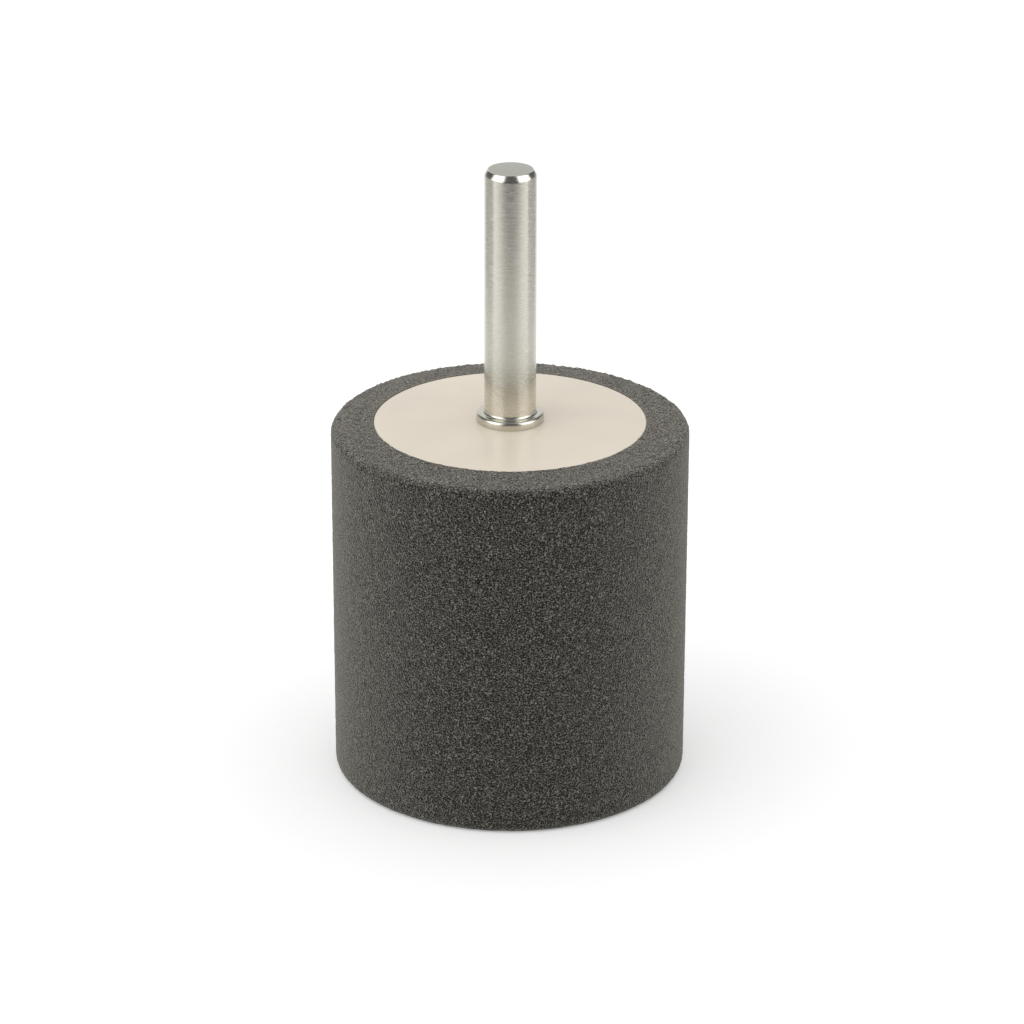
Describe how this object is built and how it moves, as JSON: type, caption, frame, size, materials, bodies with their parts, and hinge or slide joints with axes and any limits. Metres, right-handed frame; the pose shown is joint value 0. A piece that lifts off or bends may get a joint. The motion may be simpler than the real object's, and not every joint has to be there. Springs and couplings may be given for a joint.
{
  "type": "foam polishing wheel",
  "caption": "Cylindrical foam polishing wheel bonded round a cast resin core, with a plain round steel shank and a seating collar for a collet or drill chuck.",
  "frame": {"origin": "on the wheel's axis, at its lower face, which it stands on", "axes": "+Z along the axis, from the wheel towards the free end of the shank"},
  "size_m": [0.044, 0.044, 0.0777],
  "materials": {
    "turned_steel": "fine turned, with polished chamfer and fillet",
    "cast_resin": "cream cast resin, satin",
    "open_cell_foam": "dark grey open-cell foam, ground"
  },
  "bodies": {
    "root": {"spindle": "turned_steel", "core": "cast_resin", "foam_sleeve": "open_cell_foam"}
  },
  "joints": []
}
